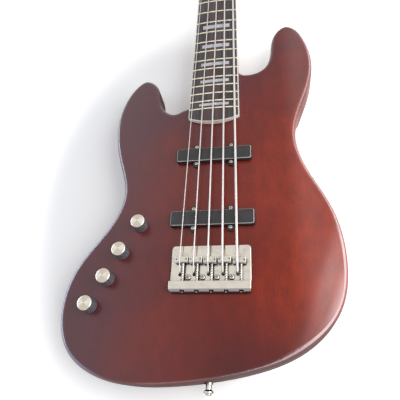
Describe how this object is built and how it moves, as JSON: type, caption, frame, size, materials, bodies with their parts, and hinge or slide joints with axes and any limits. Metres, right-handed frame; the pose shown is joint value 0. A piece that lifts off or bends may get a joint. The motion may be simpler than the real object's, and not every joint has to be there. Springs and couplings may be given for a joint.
{
  "type": "electric bass guitar",
  "caption": "Left-handed electric bass guitar with a solid offset body, bolted neck, turning tuners, sliding bridge saddles and control knobs.",
  "frame": {"origin": "on the flat back of the body, under the end of the scale at the bridge, on the middle line of the strings", "axes": "+Y along the neck towards the headstock, +Z out of the front of the body, +X towards the thick strings"},
  "size_m": [0.3326, 1.1839, 0.0572],
  "materials": {
    "mahogany": "satin transparent red-brown",
    "maple": "satin",
    "rosewood": "oiled",
    "binding": "polished",
    "pearl": "pearl",
    "fret_metal": "polished",
    "bone": "polished",
    "steel": "bright",
    "chrome": "polished",
    "black_cover": "semi gloss",
    "coil": "lacquered wire",
    "foam": "open cell",
    "cover_plastic": "fine grain",
    "battery_case": "printed sleeve without words",
    "circuit": "lacquered"
  },
  "bodies": {
    "instrument": {"battery": "battery_case", "body": "mahogany", "bridge_pickup_coil": "coil", "bridge_pickup_cover": "black_cover", "bridge_plate": "chrome", "bridge_screws": "chrome", "control_cover": "cover_plastic", "cover_screws": "chrome", "fingerboard": "rosewood", "fingerboard_binding": "binding", "frets": "fret_metal", "intonation_springs": "steel", "neck": "maple", "neck_pickup_coil": "coil", "neck_pickup_cover": "black_cover", "neck_plate": "chrome", "neck_screws": "chrome", "nut": "bone", "output_jack": "chrome", "pickup_foam_pads": "foam", "pickup_screws": "chrome", "position_blocks": "pearl", "pot_nuts": "steel", "potentiometers": "steel", "preamp_board": "circuit", "strap_button_screws": "chrome", "strap_buttons": "chrome", "string_ferrules": "steel", "string_retainer": "chrome", "strings": "steel", "truss_rod": "steel", "tuner_bushings": "chrome", "tuner_plates": "chrome", "tuner_screws": "chrome"},
    "volume_control": {"volume_knob": "chrome"},
    "blend_control": {"blend_knob": "chrome"},
    "treble_control": {"treble_knob": "chrome"},
    "bass_control": {"bass_knob": "chrome"},
    "tone_screw_g": {"intonation_screw_g": "chrome"},
    "saddle_block_g": {"saddle_g": "chrome"},
    "key_g": {"tuner_key_g": "chrome"},
    "post_g": {"tuner_post_g": "chrome"},
    "tone_screw_d": {"intonation_screw_d": "chrome"},
    "saddle_block_d": {"saddle_d": "chrome"},
    "key_d": {"tuner_key_d": "chrome"},
    "post_d": {"tuner_post_d": "chrome"},
    "tone_screw_a": {"intonation_screw_a": "chrome"},
    "saddle_block_a": {"saddle_a": "chrome"},
    "key_a": {"tuner_key_a": "chrome"},
    "post_a": {"tuner_post_a": "chrome"},
    "tone_screw_e": {"intonation_screw_e": "chrome"},
    "saddle_block_e": {"saddle_e": "chrome"},
    "key_e": {"tuner_key_e": "chrome"},
    "post_e": {"tuner_post_e": "chrome"},
    "tone_screw_b": {"intonation_screw_b": "chrome"},
    "saddle_block_b": {"saddle_b": "chrome"},
    "key_b": {"tuner_key_b": "chrome"},
    "post_b": {"tuner_post_b": "chrome"},
    "truss_adjuster": {"truss_rod_nut": "steel"}
  },
  "joints": [
    {"name": "volume_turn", "type": "hinge", "parent": "instrument", "child": "volume_control", "pos_m": [-0.08708, 0.04572, 0.04], "axis": [0, 0, 1], "range_deg": [-150, 150]},
    {"name": "blend_turn", "type": "hinge", "parent": "instrument", "child": "blend_control", "pos_m": [-0.1068, 0.01091, 0.04], "axis": [0, 0, 1], "range_deg": [-150, 150]},
    {"name": "treble_turn", "type": "hinge", "parent": "instrument", "child": "treble_control", "pos_m": [-0.12131, -0.02128, 0.04], "axis": [0, 0, 1], "range_deg": [-150, 150]},
    {"name": "bass_turn", "type": "hinge", "parent": "instrument", "child": "bass_control", "pos_m": [-0.13841, -0.05261, 0.04], "axis": [0, 0, 1], "range_deg": [-150, 150]},
    {"name": "intonation_turn_g", "type": "hinge", "parent": "instrument", "child": "tone_screw_g", "pos_m": [-0.0288, -0.0394, 0.0474], "axis": [0, 1, 0], "range_deg": [-2890, 2890]},
    {"name": "saddle_slide_g", "type": "slide", "parent": "instrument", "child": "saddle_block_g", "axis": [0, 1, 0], "range_m": [-0.004, 0.004], "deforming": ["intonation_springs", "strings"]},
    {"name": "tuner_turn_g", "type": "hinge", "parent": "instrument", "child": "key_g", "pos_m": [-0.031, 0.9221, 0.0128], "axis": [-1, 0, 0], "continuous": true},
    {"name": "post_turn_g", "type": "hinge", "parent": "instrument", "child": "post_g", "pos_m": [-0.031, 0.93162, 0.0185], "axis": [0, 0, 1], "continuous": true, "deforming": ["strings"]},
    {"name": "intonation_turn_d", "type": "hinge", "parent": "instrument", "child": "tone_screw_d", "pos_m": [-0.0123, -0.0394, 0.0474], "axis": [0, 1, 0], "range_deg": [-2890, 2890]},
    {"name": "saddle_slide_d", "type": "slide", "parent": "instrument", "child": "saddle_block_d", "axis": [0, 1, 0], "range_m": [-0.004, 0.004], "deforming": ["intonation_springs", "strings"]},
    {"name": "tuner_turn_d", "type": "hinge", "parent": "instrument", "child": "key_d", "pos_m": [-0.02797, 0.96614, 0.0128], "axis": [-1, 0, 0], "continuous": true},
    {"name": "post_turn_d", "type": "hinge", "parent": "instrument", "child": "post_d", "pos_m": [-0.02797, 0.97565, 0.0185], "axis": [0, 0, 1], "continuous": true, "deforming": ["strings"]},
    {"name": "intonation_turn_a", "type": "hinge", "parent": "instrument", "child": "tone_screw_a", "pos_m": [0.0042, -0.0394, 0.0474], "axis": [0, 1, 0], "range_deg": [-2890, 2890]},
    {"name": "saddle_slide_a", "type": "slide", "parent": "instrument", "child": "saddle_block_a", "axis": [0, 1, 0], "range_m": [-0.004, 0.004], "deforming": ["intonation_springs", "strings"]},
    {"name": "tuner_turn_a", "type": "hinge", "parent": "instrument", "child": "key_a", "pos_m": [0.0265, 1.01113, 0.0128], "axis": [1, 0, 0], "continuous": true},
    {"name": "post_turn_a", "type": "hinge", "parent": "instrument", "child": "post_a", "pos_m": [0.0265, 1.00161, 0.0185], "axis": [0, 0, 1], "continuous": true, "deforming": ["strings"]},
    {"name": "intonation_turn_e", "type": "hinge", "parent": "instrument", "child": "tone_screw_e", "pos_m": [0.0207, -0.0394, 0.0474], "axis": [0, 1, 0], "range_deg": [-2890, 2890]},
    {"name": "saddle_slide_e", "type": "slide", "parent": "instrument", "child": "saddle_block_e", "axis": [0, 1, 0], "range_m": [-0.004, 0.004], "deforming": ["intonation_springs", "strings"]},
    {"name": "tuner_turn_e", "type": "hinge", "parent": "instrument", "child": "key_e", "pos_m": [0.02898, 0.96906, 0.0128], "axis": [1, 0, 0], "continuous": true},
    {"name": "post_turn_e", "type": "hinge", "parent": "instrument", "child": "post_e", "pos_m": [0.02898, 0.95954, 0.0185], "axis": [0, 0, 1], "continuous": true, "deforming": ["strings"]},
    {"name": "intonation_turn_b", "type": "hinge", "parent": "instrument", "child": "tone_screw_b", "pos_m": [0.0372, -0.0394, 0.0474], "axis": [0, 1, 0], "range_deg": [-2890, 2890]},
    {"name": "saddle_slide_b", "type": "slide", "parent": "instrument", "child": "saddle_block_b", "axis": [0, 1, 0], "range_m": [-0.004, 0.004], "deforming": ["intonation_springs", "strings"]},
    {"name": "tuner_turn_b", "type": "hinge", "parent": "instrument", "child": "key_b", "pos_m": [0.031, 0.92717, 0.0128], "axis": [1, 0, 0], "continuous": true},
    {"name": "post_turn_b", "type": "hinge", "parent": "instrument", "child": "post_b", "pos_m": [0.031, 0.91766, 0.0185], "axis": [0, 0, 1], "continuous": true, "deforming": ["strings"]},
    {"name": "truss_nut_turn", "type": "hinge", "parent": "instrument", "child": "truss_adjuster", "pos_m": [0, 0.8636, 0.033], "axis": [0, 1, 0], "range_deg": [-180, 180]}
  ],
  "couplings": [
    {"joint": "intonation_turn_g", "follows": "saddle_slide_g", "rad_per_m": -12566},
    {"joint": "post_turn_g", "follows": "tuner_turn_g", "ratio": 0.05},
    {"joint": "intonation_turn_d", "follows": "saddle_slide_d", "rad_per_m": -12566},
    {"joint": "post_turn_d", "follows": "tuner_turn_d", "ratio": 0.05},
    {"joint": "intonation_turn_a", "follows": "saddle_slide_a", "rad_per_m": -12566},
    {"joint": "post_turn_a", "follows": "tuner_turn_a", "ratio": 0.05},
    {"joint": "intonation_turn_e", "follows": "saddle_slide_e", "rad_per_m": -12566},
    {"joint": "post_turn_e", "follows": "tuner_turn_e", "ratio": 0.05},
    {"joint": "intonation_turn_b", "follows": "saddle_slide_b", "rad_per_m": -12566},
    {"joint": "post_turn_b", "follows": "tuner_turn_b", "ratio": 0.05}
  ]
}
